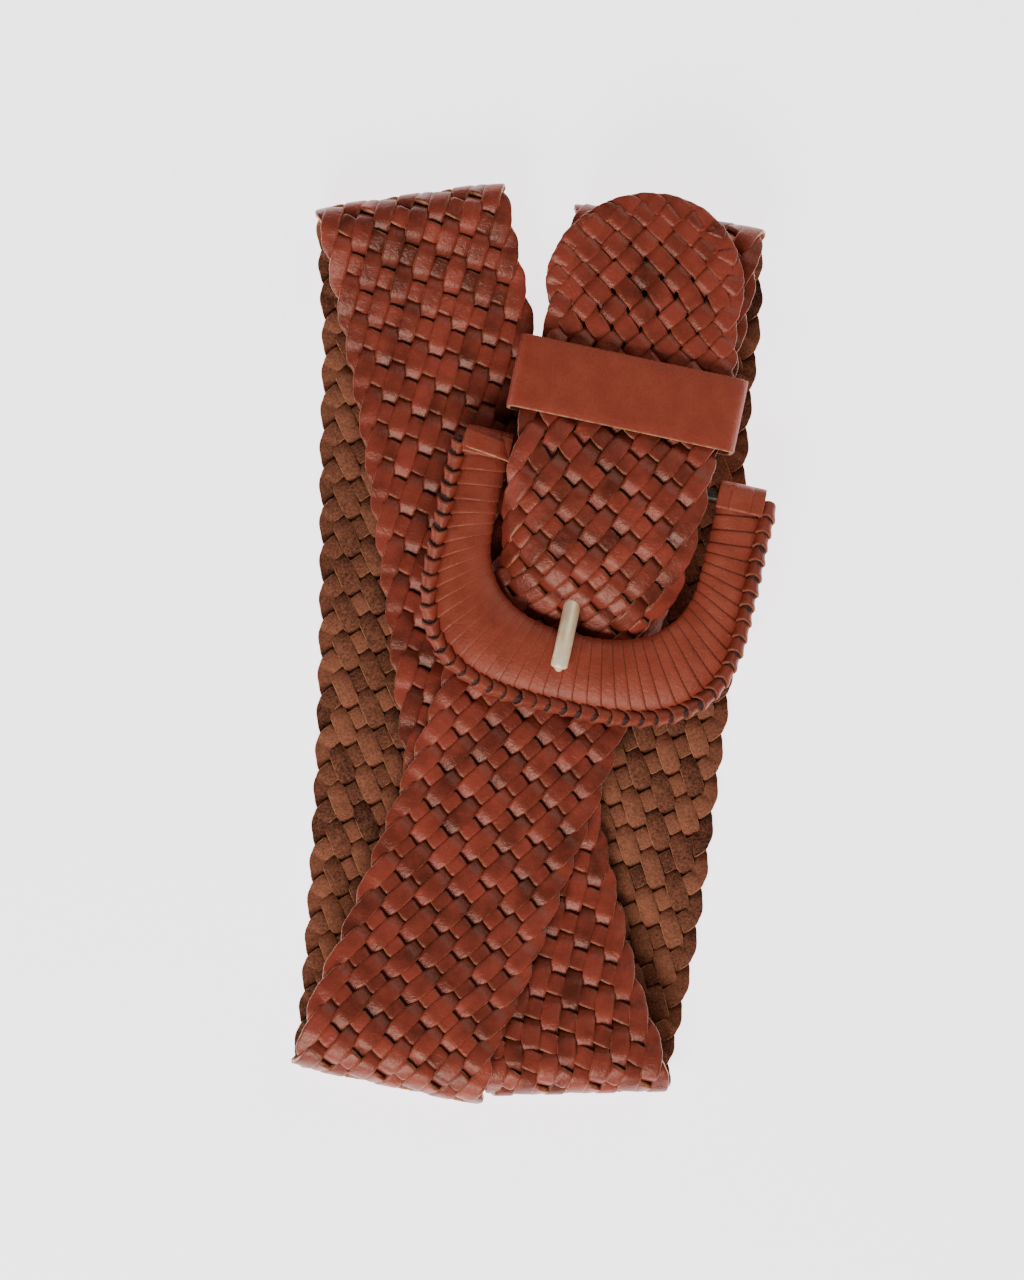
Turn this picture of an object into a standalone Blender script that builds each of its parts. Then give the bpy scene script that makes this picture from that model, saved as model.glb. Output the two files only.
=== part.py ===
"""A wide braided leather belt, buckled and folded flat on a table.

World frame: the belt lies on z = 0 with its long side along +Y, and the origin is at
the bottom centre of the whole bundle.  Lengths in the tables are millimetres.

The strap is one band that doubles back on itself.  Its middle surface is a centre line
through hand-chosen stations with a straight line ("ruling") laid across it at each one.
Distance s grows from the sewn end at the buckle to the free tip, and y grows from the
left edge to the right edge.  The grain side of the leather is on the side of ruling x
travel.
"""
import math

import bmesh
import bpy
import numpy as np
from mathutils import Matrix, Vector

MM = 0.001

SHIFT_X = -1.75            # brings the tables' origin under the middle of the bundle

# ---- the strap --------------------------------------------------------------------
THICKNESS = 3.6            # two crossed thongs
GAP = 0.3                  # air left between neighbouring solids
JOIN_GAP = 1.4             # air left where one stretch of strap follows the next
HALF_WIDTH = 27.5          # body of the strap
BAR_HALF_WIDTH = 27.2      # between the arms of the buckle
LEFT_FOLD_HALF_WIDTH = 26.4    # pinched in at the bottom folds, which lie side by side
RIGHT_FOLD_HALF_WIDTH = 24.8
TIP_HALF_WIDTH = 28.4      # radius of the round end
CURL_ZONE = 16.0           # edge strip that curls down inside the buckle
STATION_STEP = 1.0         # spacing of the smoothed centre line
RELAX_PASSES = 4           # smoothing of the centre line
RUN_ROW_STEP = 9.0         # length of the facets along the flat runs
TIP_ROW_STEP = 6.0
WINDOW_ROW_STEP = 3.2      # and where the strap bends and curls
FOLD_ROW_STEP = 2.2
LOOP_ROW_STEP = 1.5
TIP_ROWS = (TIP_HALF_WIDTH, 22.0, 16.5, 12.0, 8.0, 5.0, 2.6, 0.9)    # distances from the round end
WINDOW_COLUMNS = (-1, -0.86, -0.72, -0.57, -0.43, -0.16, 0.16, 0.45, 0.62, 0.8, 1)
SLOT_COLUMNS = (5, 6)      # the two of them that bound the prong's opening

# ---- heights of the strap's middle surface above the table --------------------------
FLOOR = THICKNESS / 2
LEG_LOW = FLOOR + THICKNESS + GAP      # the middle run, lying on the two floor runs
LEG_HIGH = LEG_LOW + THICKNESS + GAP   # the front run, lying on the middle run

# ---- the buckle ---------------------------------------------------------------------
BUCKLE_CENTRE = (24.2, 47.7)           # middle of the bar, in plan
BUCKLE_HEIGHT = 15.4                   # height of the bar and of the frame's middle plane
BUCKLE_TURN = -12.5                    # degrees, in plan
BAR_RADIUS = 2.0
BAR_HALF_LENGTH = 34.0                 # far enough to run into both arms
LOOP_RADIUS = 4.4                      # strap's middle surface round the bar
ARM_BACK = -2.8                        # the arms reach this far behind the bar
INNER_OUTLINE = (30.0, 20.0, 46.5, 2.5)    # half width, length of straight arm, depth, roundness
OUTER_OUTLINE = (43.0, 30.0, 66.0, 3.0)
RIDGE_RADIUS = 1.7
RIDGE_KNOTS = 41                       # points along the edge braid
RIDGE_MARGIN = 0.01                    # share of the outline left free at each arm's end
LACE_THICKNESS = 1.2
LACE_END_SIZE = (13.0, 5.2)            # the cut end of the lace, laid across the left arm
LACE_END_PLACE = (-36.5, 0.8)
CORE_RINGS = (12, 41)                  # corners and sections of the metal frame
SLEEVE_RINGS = (16, 45)                # and of the lacing
SLEEVE_MARGIN = 0.005
CORE_INSET = 2.7                       # metal frame's edge inside the lacing's edge
FRAME_HALF_HEIGHT = 3.7                # outside of the lacing
PRONG_OFFSET = -3.5                    # the prong sits left of the middle of the bar
PRONG_RADIUS = 2.3
SLOT_HALF_WIDTH = 3.4                  # opening in the strap's loop for the prong's eye
PRONG_SLOT = (17.5, 46.5)              # its opening in the window stretch, in front of the bar
EYE_WIRE = 1.0
# The prong from its eye round the bar to its blunt end: front of the bar, height, radius.
PRONG_COURSE = [
    (0.6, -3.3, EYE_WIRE), (-1.4, -3.0, EYE_WIRE), (-2.9, -1.6, EYE_WIRE), (-3.3, 0.2, EYE_WIRE),
    (-2.6, 2.0, EYE_WIRE), (-1.0, 3.15, EYE_WIRE), (0.9, 3.1, EYE_WIRE), (3.0, 2.2, 1.15),
    (5.2, 1.3, 1.45), (8.0, 0.6, 1.9), (16.0, -0.2, PRONG_RADIUS), (26.0, -0.9, PRONG_RADIUS),
    (33.0, -0.8, PRONG_RADIUS), (37.0, 0.3, PRONG_RADIUS), (41.0, 2.1, PRONG_RADIUS),
    (45.0, 4.1, PRONG_RADIUS), (48.5, 5.6, PRONG_RADIUS), (51.5, 6.25, PRONG_RADIUS),
    (54.6, 6.4, PRONG_RADIUS), (56.4, 6.35, 2.15), (56.9, 6.3, 1.5),
]

# ---- the keeper ---------------------------------------------------------------------
KEEPER_CENTRE = (27.8, 70.0)
KEEPER_TURN = -12.0
KEEPER_WIDTH = 21.0
KEEPER_HALF_LENGTH = 32.0
KEEPER_THICKNESS = 1.4
KEEPER_BOTTOM = 8.5                    # middle of the band under the strap
KEEPER_TOP_NEAR = 25.6                 # middle of the band over the strap, buckle side
KEEPER_TOP_FAR = 22.8                  # the same, tip side
KEEPER_CORNER = 3.2
KEEPER_CORNER_POINTS = 5


def fold(extreme, fold_angle, radius, low, drift, rising, outward, half_width=HALF_WIDTH):
    """Stations round half a cylinder lying on its side.

    extreme is the outermost plan point of the centre line, fold_angle the plan angle of
    the crease, outward +1 for a fold whose outside faces +Y and -1 for -Y.
    """
    crease = Vector((math.cos(math.radians(fold_angle)), math.sin(math.radians(fold_angle))))
    out = Vector((-crease.y, crease.x)) * outward
    stations = []
    for step in range(9):
        phase = math.radians(-90 + 22.5 * step)
        if not rising:
            phase = -phase
        along = drift * (step / 8 - 0.5)
        plan = Vector(extreme) + out * radius * (math.cos(phase) - 1) + crease * along
        height = low + radius * (1 + math.sin(phase))
        stations.append((plan.x, plan.y, height, fold_angle, half_width, 0, 0))
    return stations


def run(*points, half_width=HALF_WIDTH):
    """Stations of a run given as (x, y, height, ruling angle)."""
    return [(x, y, z, angle, half_width, 0, 0) for x, y, z, angle in points]


BAR_FRONT = (BUCKLE_CENTRE[0] + LOOP_RADIUS * math.sin(math.radians(BUCKLE_TURN)),
             BUCKLE_CENTRE[1] - LOOP_RADIUS * math.cos(math.radians(BUCKLE_TURN)))

# Each section is one solid: its name, then its stations.  Columns are x, y, height,
# ruling angle, half width and, inside the buckle, how far the left and the right edge
# curl down in degrees.
SECTIONS = [
    ("strap_turnback", run(
        (34.4, 93.5, 11.2, -12), (32.2, 84.0, 11.2, -12), (30.0, 73.5, 11.2, -12),
        (27.8, 64.0, 11.1, -12.3), (26.3, 57.5, 11.0, -12.5), half_width=BAR_HALF_WIDTH)),
    ("strap_bar_loop", run((25.5, 54.0, 11.0, -12.5), half_width=BAR_HALF_WIDTH) + fold(
        BAR_FRONT, BUCKLE_TURN, LOOP_RADIUS, BUCKLE_HEIGHT - LOOP_RADIUS, 0.0, True, -1,
        half_width=BAR_HALF_WIDTH) + run((25.4, 53.5, 19.1, -12.5), half_width=BAR_HALF_WIDTH)),
    ("strap_buckle_run", run(
        (26.3, 57.5, 18.2, -12.5), (27.7, 63.5, 17.0, -12.3), (29.6, 71.5, 15.9, -12),
        (32.0, 81.2, 15.4, -12), (34.4, 91.7, 15.3, -11.5), (36.8, 102.5, 15.8, -10))),
    ("strap_fold_top_right", fold((40.3, 120.1), -8.0, 7.6, FLOOR, 1.6, False, 1)),
    ("strap_right_run", run(
        (39.9, 100.0, FLOOR, -6), (39.0, 88.0, FLOOR, -5), (36.6, 67.1, FLOOR, -4.5),
        (35.1, 47.1, FLOOR, -4), (32.2, 0.7, FLOOR, -4.5), (27.9, -34.1, FLOOR, -6.5),
        (21.6, -80.5, FLOOR, -7.5)) + run((17.6, -106.5, FLOOR, -6), half_width=RIGHT_FOLD_HALF_WIDTH)),
    ("strap_fold_bottom_right", fold((14.2, -126.8), 1.5, 7.3, FLOOR, -2.0, True, -1,
                                     half_width=RIGHT_FOLD_HALF_WIDTH)),
    ("strap_middle_run", run(
        (9.2, -112.0, 15.2, 6), (5.2, -102.0, 12.0, 10), (-0.4, -79.0, 6.6, 12))),
    ("strap_middle_upper", run(
        (-5.8, -54.4, LEG_LOW, 10.5), (-9.1, -28.3, LEG_LOW, 8.5), (-13.9, 12.3, LEG_LOW, 8),
        (-19.7, 55.8, LEG_LOW, 8.5), (-24.9, 86.0, LEG_LOW, 10),
        (-27.0, 96.0, LEG_LOW + 1.8, 10.5), (-29.4, 107.0, 11.2, 9.5))),
    ("strap_fold_top_left", fold((-33.6, 126.0), 8.0, 7.0, FLOOR, -1.6, False, 1)),
    ("strap_left_run", run(
        (-32.6, 104.0, FLOOR, 4), (-31.8, 88.0, FLOOR, 2), (-32.5, 52.9, FLOOR, 0),
        (-32.6, 12.3, FLOOR, -0.5), (-33.7, -31.2, FLOOR, -2), (-36.0, -74.7, FLOOR, -4),
        (-38.0, -102.0, FLOOR, -7))),
    ("strap_fold_bottom_left", fold((-40.2, -124.3), -12.0, 9.3, FLOOR, 2.0, True, -1,
                                    half_width=LEFT_FOLD_HALF_WIDTH)),
    ("strap_front_run", run(
        (-36.6, -111.5, 20.3, -13), (-33.4, -103.0, 19.2, -16), (-27.3, -90.5, 16.6, -19),
        (-20.2, -73.0, 13.0, -20.5), (-12.8, -54.4, LEG_HIGH + 0.8, -21),
        (-5.5, -36.0, LEG_HIGH, -21), (1.7, -16.7, LEG_HIGH, -21))),
    ("strap_window", [
        (5.4, -7.0, LEG_HIGH, -21, 28.0, 0, 0), (8.6, 1.0, 9.9, -21, 28.2, 0, 14),
        (10.4, 5.5, 11.3, -20.8, 27.6, 14, 38), (12.4, 9.5, 14.6, -20.3, 27.3, 42, 50),
        (14.3, 13.5, 18.0, -19.5, 27.0, 62, 52), (16.1, 19.5, 20.6, -17.5, 27.8, 64, 40),
        (17.6, 26.0, 21.8, -15.5, 28.6, 56, 22), (19.4, 33.0, 22.8, -13.5, 28.6, 36, 6),
        (21.2, 40.5, 23.6, -12, 28.8, 10, 0)]),
    ("strap_through_keeper", [
        (22.7, 47.0, 24.0, -11.5, 28.8, 0, 0), (24.0, 53.0, 23.5, -12, 28.8, 0, 0),
        (25.6, 60.0, 22.0, -12, 28.8, 0, 0), (27.2, 67.0, 20.5, -12, 28.7, 0, 0),
        (28.9, 74.5, 19.5, -12, 28.6, 0, 0), (30.6, 82.5, 19.25, -11, 28.5, 0, 0)]),
    ("strap_tip", [
        (31.9, 90.5, 19.4, -8, 28.4, 0, 0), (32.6, 98.0, 20.0, -4.5, 28.4, 0, 0),
        (32.9, 107.0, 21.0, -1, 28.4, 0, 0), (32.7, 117.0, 21.3, 2, 28.4, 0, 0),
        (32.1, 127.0, 21.0, 4, 28.4, 0, 0)]),
]


def catmull_rom(stations):
    """A smooth chain of points through the stations."""
    knots = np.array(stations, float)
    knots = np.vstack([2 * knots[0] - knots[1], knots, 2 * knots[-1] - knots[-2]])
    chain = []
    for i in range(1, len(knots) - 2):
        before, start, end, after = knots[i - 1:i + 3]
        lengths = [max(np.linalg.norm(b[:3] - a[:3]), 1e-6) ** 0.5
                   for a, b in ((before, start), (start, end), (end, after))]
        for t in np.linspace(0, 1, 16, endpoint=False):
            tangent_in = ((start - before) / lengths[0] - (end - before) / (lengths[0] + lengths[1])
                          + (end - start) / lengths[1]) * lengths[1]
            tangent_out = ((end - start) / lengths[1] - (after - start) / (lengths[1] + lengths[2])
                           + (after - end) / lengths[2]) * lengths[1]
            chain.append((2 * t**3 - 3 * t**2 + 1) * start + (t**3 - 2 * t**2 + t) * tangent_in
                         + (3 * t**2 - 2 * t**3) * end + (t**3 - t**2) * tangent_out)
    chain.append(knots[-2])
    return np.array(chain)


def distances(chain):
    """Distance along a chain of points."""
    steps = np.linalg.norm(np.diff(chain[:, :3], axis=0), axis=1)
    return np.concatenate([[0], np.cumsum(steps)])


class Strap:
    """The middle surface of the whole strap."""

    def __init__(self):
        stations = [station for _, section in SECTIONS for station in section]
        chain = catmull_rom(stations)
        along = distances(chain)
        even = np.arange(0, along[-1], STATION_STEP)
        chain = np.column_stack([np.interp(even, along, column) for column in chain.T])
        for _ in range(RELAX_PASSES):
            chain[1:-1] = (chain[:-2] + 2 * chain[1:-1] + chain[2:]) / 4
        chain[:, 2] = np.maximum(chain[:, 2], FLOOR)
        self.chain = chain + np.array([SHIFT_X, 0, 0, 0, 0, 0, 0])
        self.along = distances(chain)
        self.length = self.along[-1]
        self.starts = {}
        searched = 0
        for name, section in SECTIONS:
            gaps = np.linalg.norm(chain[searched:, :3] - np.array(section[0][:3]), axis=1)
            near = searched + int(np.argmin(gaps))
            self.starts[name] = self.along[near]
            searched = near

    def station(self, s):
        return np.array([np.interp(s, self.along, column) for column in self.chain.T])

    def frame(self, s):
        """Centre, ruling, normal on the grain side, half width and the two curls."""
        here = self.station(s)
        travel = self.station(s + 0.6)[:3] - self.station(s - 0.6)[:3]
        angle = math.radians(here[3])
        ruling = np.array([math.cos(angle), math.sin(angle), 0])
        normal = np.cross(ruling, travel)
        normal /= np.linalg.norm(normal)
        return here[:3], ruling, normal, here[4], np.radians(here[5:7])

    def point(self, s, y):
        """The point at distance s along the strap and y across it."""
        centre, ruling, normal, half_width, curls = self.frame(s)
        curl = curls[0] if y < 0 else curls[1]
        side = -1 if y < 0 else 1
        reach = abs(y)
        drop = 0
        bend = reach - (half_width - CURL_ZONE)
        if bend > 0 and curl > 0.01:
            rate = curl / CURL_ZONE
            reach += math.sin(rate * bend) / rate - bend
            drop = (1 - math.cos(rate * bend)) / rate
        return centre + ruling * side * reach - normal * drop


def new_collection(name):
    collection = bpy.data.collections.new(name)
    bpy.context.scene.collection.children.link(collection)
    return collection


def material(name, colour, roughness, metallic=0.0):
    """A Principled material in a plain colour."""
    made = bpy.data.materials.new(name)
    made.use_nodes = True
    shader = made.node_tree.nodes["Principled BSDF"]
    shader.inputs["Base Color"].default_value = (*colour, 1)
    shader.inputs["Roughness"].default_value = roughness
    shader.inputs["Metallic"].default_value = metallic
    return made


def add_object(name, data, collection, finish):
    made = bpy.data.objects.new(name, data)
    collection.objects.link(made)
    if finish is not None:
        data.materials.append(finish)
    return made


def solidify(made, thickness):
    """Give an open surface its wall, half to each side."""
    wall = made.modifiers.new("wall", "SOLIDIFY")
    wall.thickness = thickness * MM
    wall.offset = 0
    wall.use_even_offset = True


def boolean(made, operation, other):
    cut = made.modifiers.new(operation.lower(), "BOOLEAN")
    cut.operation = operation
    cut.object = other
    cut.solver = "EXACT"


def strap_piece(name, strap, rows, columns, collection, finish, hole=None, round_end=None):
    """One stretch of the strap as an open surface with a wall.

    rows are distances along the strap, columns are shares of the half width.  hole gives
    the row and column spans left open for the prong.  round_end is the distance at which
    a round end closes.
    """
    mesh = bpy.data.meshes.new(name)
    grid = bmesh.new()
    bmesh.ops.create_grid(grid, x_segments=len(columns) - 1, y_segments=len(rows) - 1, size=1)
    grid.verts.ensure_lookup_table()
    grid.verts.index_update()
    for vertex in grid.verts:
        row = vertex.index // len(columns)
        column = vertex.index % len(columns)
        s = rows[row]
        half_width = strap.frame(s)[3]
        if round_end is not None:
            depth = min(round_end - s, half_width)
            half_width = math.sqrt(half_width**2 - (half_width - depth)**2)
        vertex.co = Vector(strap.point(s, columns[column] * half_width)) * MM
    if hole is not None:
        first_row, last_row, first_column, last_column = hole
        doomed = []
        for face in grid.faces:
            low = min(vertex.index for vertex in face.verts)
            row, column = divmod(low, len(columns))
            if first_row <= row < last_row and first_column <= column < last_column:
                doomed.append(face)
        bmesh.ops.delete(grid, geom=doomed, context="FACES")
    grid.to_mesh(mesh)
    grid.free()
    made = add_object(name, mesh, collection, finish)
    solidify(made, THICKNESS)
    return made


def even_rows(start, end, step):
    """Distances from start to end, keeping half the join gap at each end."""
    count = max(2, round((end - start) / step) + 1)
    return list(np.linspace(start + JOIN_GAP / 2, end - JOIN_GAP / 2, count))


def prong_row_span(strap, rows, nearest, furthest):
    """First and last row whose distance in front of the bar lies in a span."""
    fronts = []
    for s in rows:
        offset = strap.station(s)[:2] - np.array(BUCKLE_CENTRE) - np.array([SHIFT_X, 0])
        turn = math.radians(BUCKLE_TURN)
        fronts.append(offset[0] * math.sin(turn) - offset[1] * math.cos(turn))
    inside = [i for i, front in enumerate(fronts) if nearest <= front <= furthest]
    return inside[0], inside[-1]


def build_strap(strap, collection, finish, tip_parent):
    """All stretches of the strap, each its own solid."""
    names = [name for name, _ in SECTIONS]
    ends = [strap.starts[name] for name in names[1:]] + [strap.length]
    for name, end in zip(names, ends):
        start = strap.starts[name]
        if name == "strap_tip":
            rows = even_rows(start, end - TIP_HALF_WIDTH, TIP_ROW_STEP)
            rows += [end - depth for depth in TIP_ROWS]
            tip = strap_piece(name, strap, rows, [-1, -0.5, 0, 0.5, 1], collection, finish,
                              round_end=end)
            hinge = Vector(strap.point(start, 0)) + Vector(strap.frame(start)[2]) * THICKNESS / 2
            tip_parent.location = hinge * MM
            bpy.context.view_layer.update()
            tip.parent = tip_parent
            tip.matrix_parent_inverse = tip_parent.matrix_world.inverted()
        elif name == "strap_window":
            rows = even_rows(start, end, WINDOW_ROW_STEP)
            span = prong_row_span(strap, rows, *PRONG_SLOT)
            strap_piece(name, strap, rows, WINDOW_COLUMNS, collection, finish,
                        hole=(*span, *SLOT_COLUMNS))
        elif name == "strap_bar_loop":
            rows = even_rows(start, end, LOOP_ROW_STEP)
            slot = [(PRONG_OFFSET + side * SLOT_HALF_WIDTH) / BAR_HALF_WIDTH for side in (-1, 1)]
            columns = [-1, *slot, 1]
            strap_piece(name, strap, rows, columns, collection, finish,
                        hole=(1, len(rows) - 2, 1, 2))
        elif "fold" in name:
            strap_piece(name, strap, even_rows(start, end, FOLD_ROW_STEP), [-1, 1], collection, finish)
        else:
            strap_piece(name, strap, even_rows(start, end, RUN_ROW_STEP), [-1, 1], collection, finish)


def outline_point(outline, share):
    """A point on a D outline, share 0 at the left arm's end and 1 at the right one's."""
    half_width, straight, depth, roundness = outline
    mirrored = share > 0.5
    wanted = 2 * (1 - share if mirrored else share)
    points = [(half_width, ARM_BACK)]
    for i in range(61):
        angle = math.pi / 2 * i / 60
        points.append((half_width * math.cos(angle) ** (2 / roundness) if i < 60 else 0,
                       straight + (depth - straight) * math.sin(angle) ** (2 / roundness)))
    points = np.array(points)
    lengths = np.concatenate([[0], np.cumsum(np.linalg.norm(np.diff(points, axis=0), axis=1))])
    u = np.interp(wanted * lengths[-1], lengths, points[:, 0])
    v = np.interp(wanted * lengths[-1], lengths, points[:, 1])
    return np.array([u if mirrored else -u, v])


def buckle_matrix():
    """From the buckle's own frame (u along the bar, v to the front, w up) to the world."""
    turn = math.radians(BUCKLE_TURN)
    u = Vector((math.cos(turn), math.sin(turn), 0))
    v = Vector((math.sin(turn), -math.cos(turn), 0))
    w = Vector((0, 0, 1))
    place = Matrix((u, v, w)).transposed().to_4x4()
    place.translation = Vector((BUCKLE_CENTRE[0] + SHIFT_X, BUCKLE_CENTRE[1], BUCKLE_HEIGHT)) * MM
    return place


def frame_rings(shrink, half_height, segments, count, first=0.0, last=1.0):
    """Oval sections of the D frame, from the left arm's end round to the right one's."""
    rings = []
    for i in range(count):
        share = first + (last - first) * i / (count - 1)
        inner = outline_point(INNER_OUTLINE, share)
        outer = outline_point(OUTER_OUTLINE, share)
        middle = (inner + outer) / 2
        across = (outer - inner) / 2
        across *= 1 - shrink / np.linalg.norm(across)
        ring = []
        for k in range(segments):
            angle = 2 * math.pi * k / segments
            plan = middle + across * math.cos(angle)
            ring.append(Vector((plan[0], plan[1], half_height * math.sin(angle))) * MM)
        rings.append(ring)
    return rings


def loft(name, rings, collection, finish, capped):
    """Skin between unlike sections that all have the same number of corners."""
    mesh = bpy.data.meshes.new(name)
    skin = bmesh.new()
    loops = [[skin.verts.new(corner) for corner in ring] for ring in rings]
    for lower, upper in zip(loops, loops[1:]):
        for k in range(len(lower)):
            following = (k + 1) % len(lower)
            skin.faces.new((lower[k], lower[following], upper[following], upper[k]))
    if capped:
        skin.faces.new(loops[0][::-1])
        skin.faces.new(loops[-1])
    bmesh.ops.recalc_face_normals(skin, faces=skin.faces)
    skin.to_mesh(mesh)
    skin.free()
    return add_object(name, mesh, collection, finish)


def cylinder(name, radius, half_length, collection, finish=None):
    """A cylinder along the buckle's bar."""
    mesh = bpy.data.meshes.new(name)
    solid = bmesh.new()
    bmesh.ops.create_cone(solid, cap_ends=True, segments=20, radius1=radius * MM,
                          radius2=radius * MM, depth=2 * half_length * MM,
                          matrix=Matrix.Rotation(math.pi / 2, 4, "Y"))
    solid.to_mesh(mesh)
    solid.free()
    return add_object(name, mesh, collection, finish)


def hide_cutter(made):
    made.hide_render = True
    made.display_type = "WIRE"


def tube(name, points, radii, collection, finish):
    """A round bar through points, with its own radius at each one."""
    curve = bpy.data.curves.new(name, "CURVE")
    curve.dimensions = "3D"
    curve.bevel_depth = MM
    curve.bevel_resolution = 2
    curve.use_fill_caps = True
    spline = curve.splines.new("POLY")
    spline.points.add(len(points) - 1)
    for knot, place, radius in zip(spline.points, points, radii):
        knot.co = (*(Vector(place) * MM), 1)
        knot.radius = radius
    return add_object(name, curve, collection, finish)


def build_buckle(parts, cutters, metal, leather, brass):
    """The D frame with its bar, the lace wrapped round it, the edge braid and the prong."""
    place = buckle_matrix()
    hinge = bpy.data.objects.new("buckle_hinge", None)
    parts.objects.link(hinge)
    hinge.matrix_world = place

    wall = LACE_THICKNESS + GAP
    core = loft("buckle_frame", frame_rings(CORE_INSET, FRAME_HALF_HEIGHT - wall, *CORE_RINGS),
                parts, metal, True)
    bar = cylinder("bar_cutter", BAR_RADIUS, BAR_HALF_LENGTH, cutters)
    boolean(core, "UNION", bar)

    sleeve = frame_rings(LACE_THICKNESS / 2, FRAME_HALF_HEIGHT - LACE_THICKNESS / 2,
                         *SLEEVE_RINGS, SLEEVE_MARGIN, 1 - SLEEVE_MARGIN)
    lacing = loft("buckle_lacing", sleeve, parts, leather, False)
    solidify(lacing, LACE_THICKNESS)
    clearance = cylinder("bar_hole_cutter", BAR_RADIUS + GAP, BAR_HALF_LENGTH, cutters)
    boolean(lacing, "DIFFERENCE", clearance)

    ridge_reach = GAP + RIDGE_RADIUS
    ridge_outline = (OUTER_OUTLINE[0] + ridge_reach, OUTER_OUTLINE[1],
                     OUTER_OUTLINE[2] + ridge_reach, OUTER_OUTLINE[3])
    shares = np.linspace(RIDGE_MARGIN, 1 - RIDGE_MARGIN, RIDGE_KNOTS)
    ridge_points = [(*outline_point(ridge_outline, share), 0) for share in shares]
    ridge = tube("buckle_edge_braid", ridge_points, [RIDGE_RADIUS] * RIDGE_KNOTS, parts, leather)

    lift = FRAME_HALF_HEIGHT + GAP + LACE_THICKNESS / 2
    end_mesh = bpy.data.meshes.new("lace_end")
    end_solid = bmesh.new()
    bmesh.ops.create_cube(end_solid, size=1, matrix=Matrix.Diagonal(
        (LACE_END_SIZE[0] * MM, LACE_END_SIZE[1] * MM, LACE_THICKNESS * MM, 1)))
    end_solid.to_mesh(end_mesh)
    end_solid.free()
    lace_end = add_object("lace_end", end_mesh, parts, leather)
    lace_end.location = Vector((*LACE_END_PLACE, lift)) * MM

    prong = tube("buckle_prong", [(PRONG_OFFSET, v, w) for v, w, _ in PRONG_COURSE],
                 [radius for _, _, radius in PRONG_COURSE], parts, brass)

    for piece in (core, lacing, ridge, lace_end, prong, bar, clearance):
        piece.parent = hinge
    for cutter in (bar, clearance):
        hide_cutter(cutter)


def build_keeper(parts, leather):
    """A plain band in a closed loop round the strap, higher on the side of the buckle."""
    outline = []
    for side, is_top, start in ((1, False, -90), (1, True, 0), (-1, True, 90), (-1, False, 180)):
        for angle in np.radians(np.linspace(start, start + 90, KEEPER_CORNER_POINTS)):
            outline.append((side, is_top, angle))
    rings = []
    for share in (0, 0.5, 1):
        top = KEEPER_TOP_NEAR + (KEEPER_TOP_FAR - KEEPER_TOP_NEAR) * share
        ring = []
        for side, is_top, angle in outline:
            level = top - KEEPER_CORNER if is_top else KEEPER_BOTTOM + KEEPER_CORNER
            across = side * (KEEPER_HALF_LENGTH - KEEPER_CORNER) + KEEPER_CORNER * math.cos(angle)
            height = level + KEEPER_CORNER * math.sin(angle)
            ring.append(Vector((across, KEEPER_WIDTH * (share - 0.5), height)) * MM)
        rings.append(ring)
    keeper = loft("keeper_band", rings, parts, leather, False)
    solidify(keeper, KEEPER_THICKNESS)
    keeper.location = Vector((KEEPER_CENTRE[0] + SHIFT_X, KEEPER_CENTRE[1], 0)) * MM
    keeper.rotation_euler.z = math.radians(KEEPER_TURN)


def main():
    for old in list(bpy.data.objects):
        bpy.data.objects.remove(old, do_unlink=True)
    parts = new_collection("braided_leather_belt")
    cutters = new_collection("cutters")
    leather = material("cognac_leather", (0.25, 0.05, 0.03), 0.5)
    metal = material("frame_metal", (0.35, 0.33, 0.3), 0.4, 1.0)
    brass = material("satin_brass", (0.47, 0.38, 0.23), 0.35, 1.0)

    tip_hinge = bpy.data.objects.new("tip_hinge", None)
    parts.objects.link(tip_hinge)
    build_strap(Strap(), parts, leather, tip_hinge)
    build_buckle(parts, cutters, metal, leather, brass)
    build_keeper(parts, leather)


main()
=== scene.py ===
"""Looks of a wide braided leather belt, buckled and folded flat on a table.

Lengths in the tables are millimetres and are turned to metres at the last step.
"""
import math

import bpy
import numpy as np
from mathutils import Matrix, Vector


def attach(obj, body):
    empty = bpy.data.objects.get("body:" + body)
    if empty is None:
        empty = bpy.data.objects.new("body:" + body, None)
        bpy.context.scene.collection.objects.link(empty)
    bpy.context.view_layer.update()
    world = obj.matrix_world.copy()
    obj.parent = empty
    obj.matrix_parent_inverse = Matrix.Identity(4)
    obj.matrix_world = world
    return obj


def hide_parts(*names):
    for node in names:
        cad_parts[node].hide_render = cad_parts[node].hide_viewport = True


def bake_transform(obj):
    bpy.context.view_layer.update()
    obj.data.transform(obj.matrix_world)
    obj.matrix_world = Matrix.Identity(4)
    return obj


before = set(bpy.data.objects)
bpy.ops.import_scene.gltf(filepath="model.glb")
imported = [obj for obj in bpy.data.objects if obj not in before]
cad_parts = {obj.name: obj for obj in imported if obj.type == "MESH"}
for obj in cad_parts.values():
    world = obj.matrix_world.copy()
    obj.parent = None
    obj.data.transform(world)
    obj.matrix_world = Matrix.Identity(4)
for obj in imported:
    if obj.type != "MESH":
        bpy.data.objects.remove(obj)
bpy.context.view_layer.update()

MM = 0.001
SHIFT_X = -1.75               # brings the tables' origin under the middle of the bundle
THICKNESS = 3.6
GAP = 0.3
HALF_WIDTH = 27.5
BAR_HALF_WIDTH = 27.2
LEFT_FOLD_HALF_WIDTH = 27.8
RIGHT_FOLD_HALF_WIDTH = 26.2
CURL_ZONE = 16.0              # the part of each half width that bends down at an edge
STATION_STEP = 1.0            # between the points of the even chain
RELAX_PASSES = 4              # rounds of smoothing over the joined chain
CHAIN_STEPS = 16              # points between two stations
FOLD_STEPS = 8                # stations in half a turn
FLOOR = THICKNESS / 2
LEG_LOW = FLOOR + THICKNESS + GAP
LEG_HIGH = LEG_LOW + THICKNESS + GAP

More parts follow.
